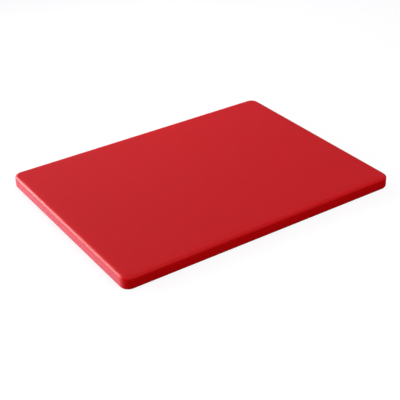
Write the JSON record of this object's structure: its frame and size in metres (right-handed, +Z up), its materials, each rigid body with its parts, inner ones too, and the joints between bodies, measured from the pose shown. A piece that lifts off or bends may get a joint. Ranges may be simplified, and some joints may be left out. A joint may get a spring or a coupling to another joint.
{
  "type": "cutting board",
  "caption": "Plain rectangular red plastic cutting board, a solid double-sided slab with rounded corners and rolled edges, for chopping food on a worktop.",
  "frame": {"origin": "centre of the face that the board lies on", "axes": "+X along the board's length, +Y across its width, +Z up through its thickness to the face in use; the board is the same either way up and either way round"},
  "size_m": [0.4, 0.3, 0.018],
  "materials": {
    "red_polyethylene": "matt, finely grained polyethylene dyed right through, with smoother rolled edges"
  },
  "bodies": {
    "root": {"board": "red_polyethylene"}
  },
  "joints": []
}
